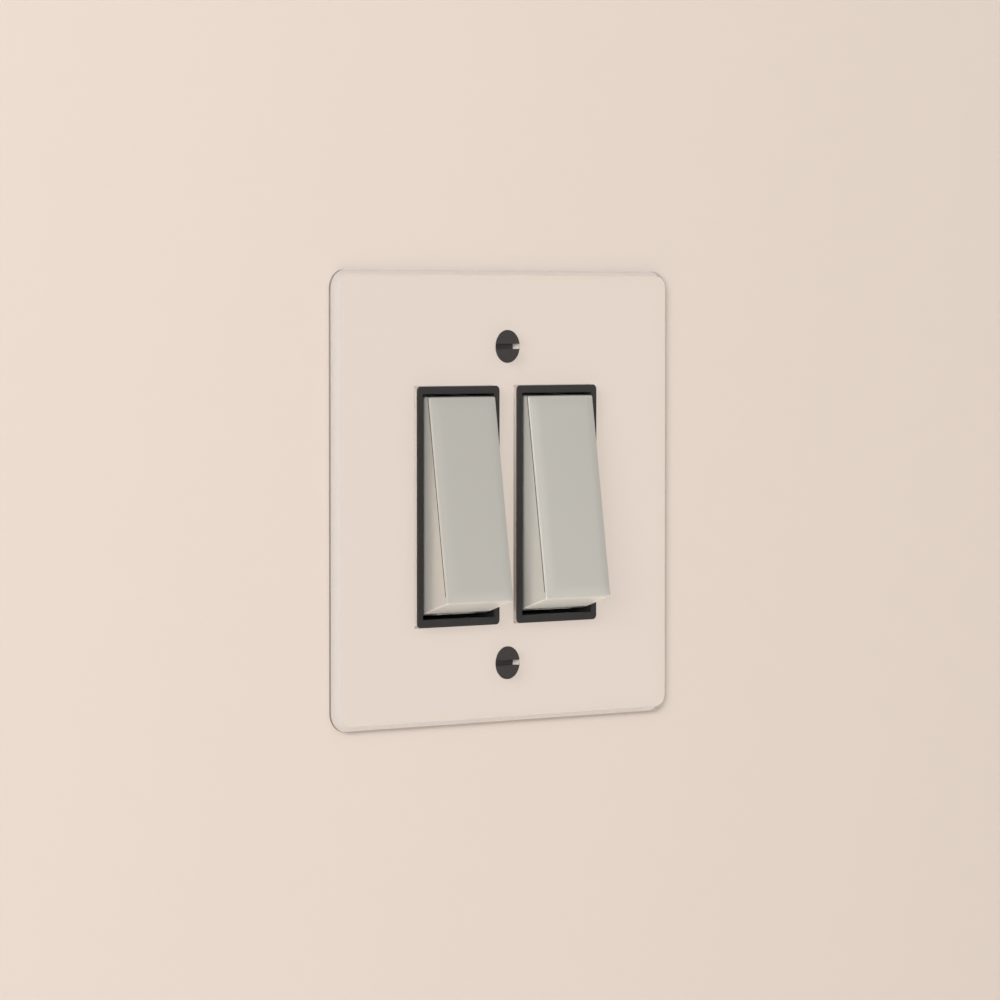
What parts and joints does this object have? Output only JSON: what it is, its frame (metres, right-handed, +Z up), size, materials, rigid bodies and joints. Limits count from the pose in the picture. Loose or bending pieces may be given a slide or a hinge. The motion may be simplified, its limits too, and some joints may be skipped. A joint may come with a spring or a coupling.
{
  "type": "double rocker wall switch",
  "caption": "Double rocker wall switch: satin metal rockers in slim black frames on a clear bevelled square plate, with slotted fixing screws and sprung contacts behind.",
  "frame": {"origin": "on the wall plane, midway between the fixing screws", "axes": "+Z up, +X to the right seen from the front, +Y into the wall"},
  "size_m": [0.086, 0.0342, 0.086],
  "materials": {
    "clear_acrylic": "polished clear",
    "blackened_steel": "satin black",
    "plated_steel": "zinc plated",
    "black_moulding": "fine matt",
    "grey_moulding": "fine matt",
    "satin_nickel": "satin brushed",
    "brass": "machined",
    "contact_silver": "dull silver",
    "spring_steel": "drawn wire",
    "white_nylon": "matt"
  },
  "bodies": {
    "plate_body": {"face_plate": "clear_acrylic", "plate_screws": "blackened_steel", "terminal_screws": "plated_steel", "left_housing": "black_moulding", "left_base": "grey_moulding", "left_common_terminal": "brass", "left_upper_terminal": "brass", "left_lower_terminal": "brass", "left_fixed_tips": "contact_silver", "right_housing": "black_moulding", "right_base": "grey_moulding", "right_common_terminal": "brass", "right_upper_terminal": "brass", "right_lower_terminal": "brass", "right_fixed_tips": "contact_silver"},
    "left_rocker": {"left_rocker_cap": "satin_nickel", "left_rocker_carrier": "black_moulding", "left_plunger_spring": "spring_steel"},
    "left_plunger_pin": {"left_plunger": "white_nylon"},
    "left_contact": {"left_contact_bar": "brass", "left_moving_tips": "contact_silver"},
    "right_rocker": {"right_rocker_cap": "satin_nickel", "right_rocker_carrier": "black_moulding", "right_plunger_spring": "spring_steel"},
    "right_plunger_pin": {"right_plunger": "white_nylon"},
    "right_contact": {"right_contact_bar": "brass", "right_moving_tips": "contact_silver"}
  },
  "joints": [
    {"name": "left_rocker_swing", "type": "hinge", "parent": "plate_body", "child": "left_rocker", "pos_m": [-0.0127, 0.004, 0], "axis": [1, 0, 0], "range_deg": [0, 15.2]},
    {"name": "left_contact_swing", "type": "hinge", "parent": "plate_body", "child": "left_contact", "pos_m": [-0.0127, 0.0117, 0], "axis": [1, 0, 0], "range_deg": [-8, 0]},
    {"name": "left_plunger_slide", "type": "slide", "parent": "left_rocker", "child": "left_plunger_pin", "axis": [0, -0.9912, 0.1323], "range_m": [0, 0.0006], "stiffness_N_per_m": 200, "springref_m": -0.002, "deforming": ["left_plunger_spring"]},
    {"name": "right_rocker_swing", "type": "hinge", "parent": "plate_body", "child": "right_rocker", "pos_m": [0.0127, 0.004, 0], "axis": [1, 0, 0], "range_deg": [0, 15.2]},
    {"name": "right_contact_swing", "type": "hinge", "parent": "plate_body", "child": "right_contact", "pos_m": [0.0127, 0.0117, 0], "axis": [1, 0, 0], "range_deg": [-8, 0]},
    {"name": "right_plunger_slide", "type": "slide", "parent": "right_rocker", "child": "right_plunger_pin", "axis": [0, -0.9912, 0.1323], "range_m": [0, 0.0006], "stiffness_N_per_m": 200, "springref_m": -0.002, "deforming": ["right_plunger_spring"]}
  ],
  "couplings": [
    {"joint": "left_contact_swing", "follows": "left_rocker_swing", "ratio": -0.52632},
    {"joint": "right_contact_swing", "follows": "right_rocker_swing", "ratio": -0.52632}
  ]
}
